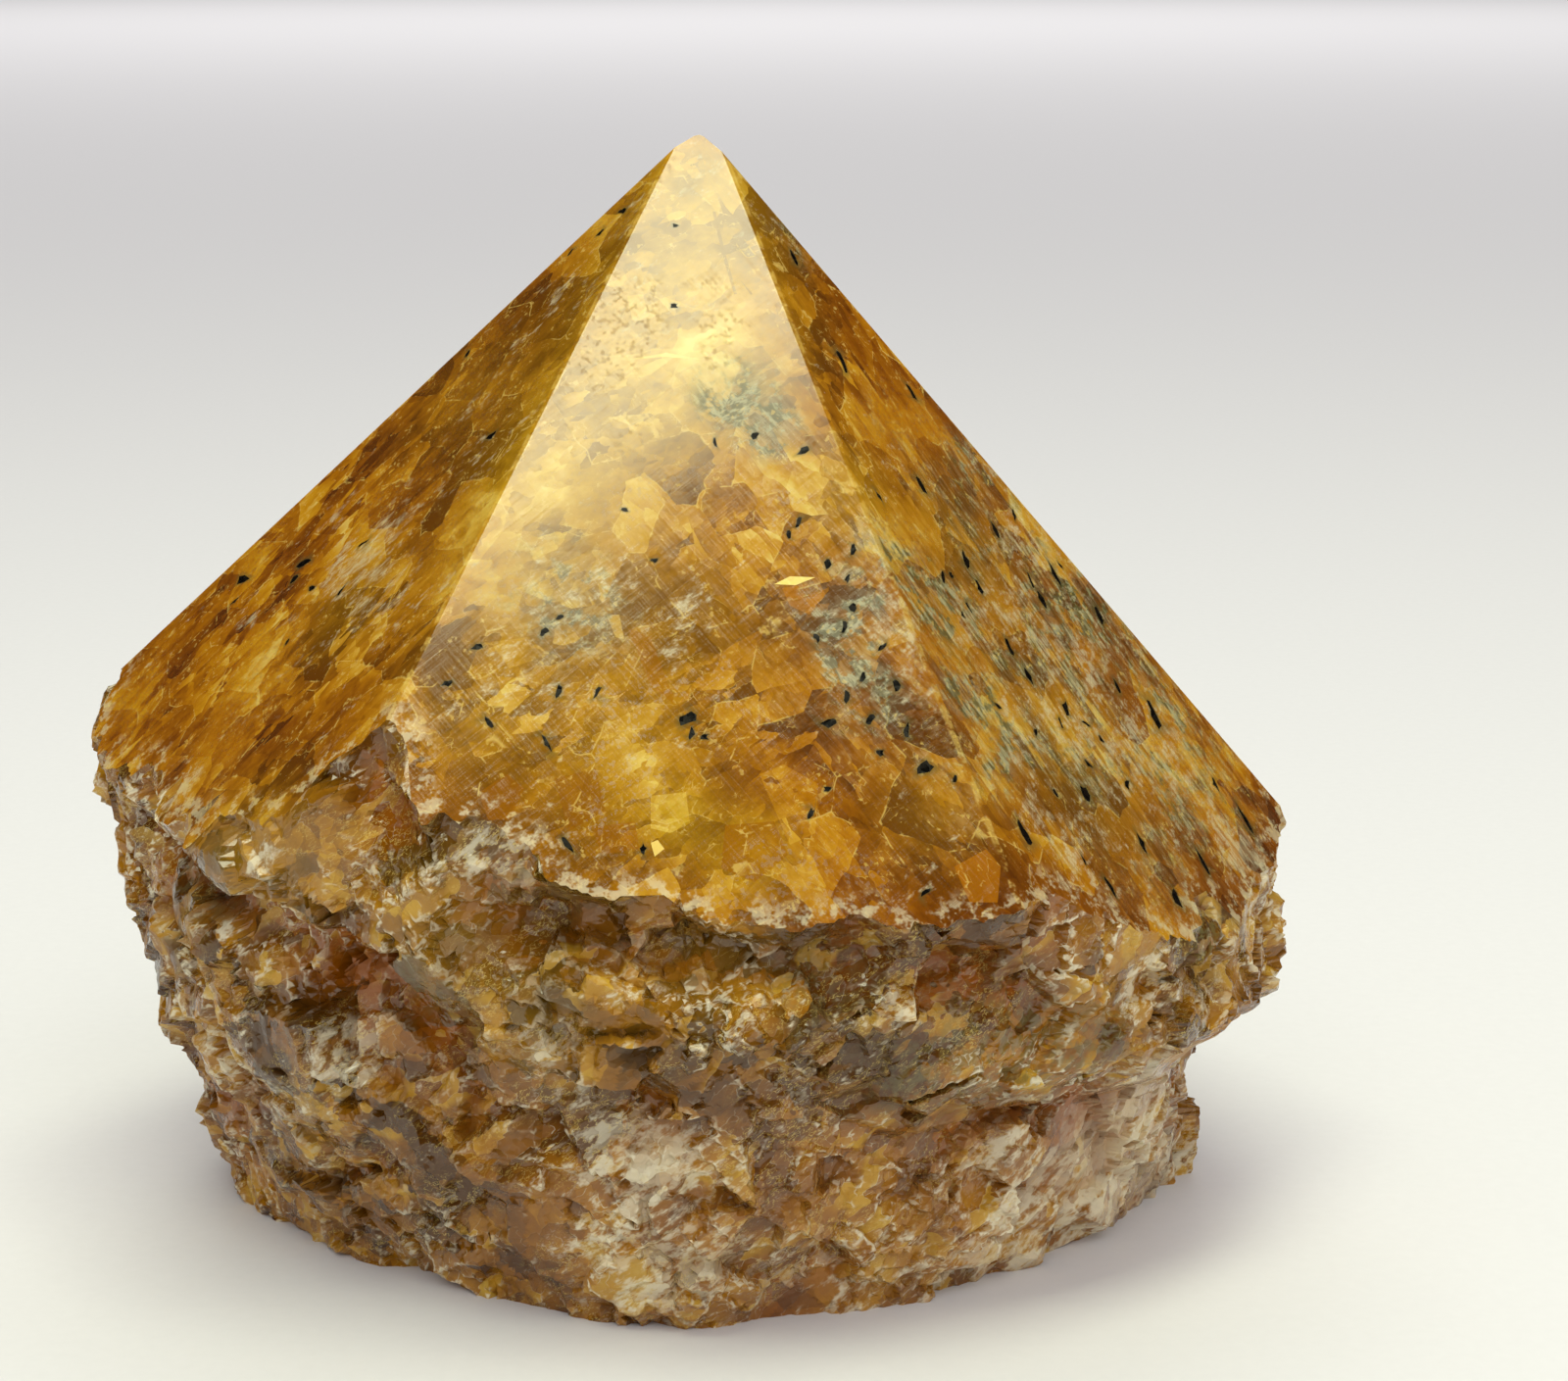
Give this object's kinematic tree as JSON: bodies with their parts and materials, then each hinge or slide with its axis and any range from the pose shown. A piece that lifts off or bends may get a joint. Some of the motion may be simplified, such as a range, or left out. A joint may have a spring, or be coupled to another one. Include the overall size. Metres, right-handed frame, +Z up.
{
  "type": "orchid calcite point",
  "caption": "Lump of translucent honey-orange calcite with a sawn flat foot, rough broken sides and a polished faceted point, for display.",
  "frame": {"origin": "centre of the stone's outline seen from above, on the plane of the sawn foot", "axes": "+Z up through the point, +X to the right of the pictured face along the longest extent, -Y towards the pictured face"},
  "size_m": [0.1004, 0.0894, 0.0896],
  "materials": {
    "calcite": "waxy polish on the ground facets, coarse broken grain on the sides"
  },
  "bodies": {
    "root": {"orchid_calcite": "calcite"}
  },
  "joints": []
}
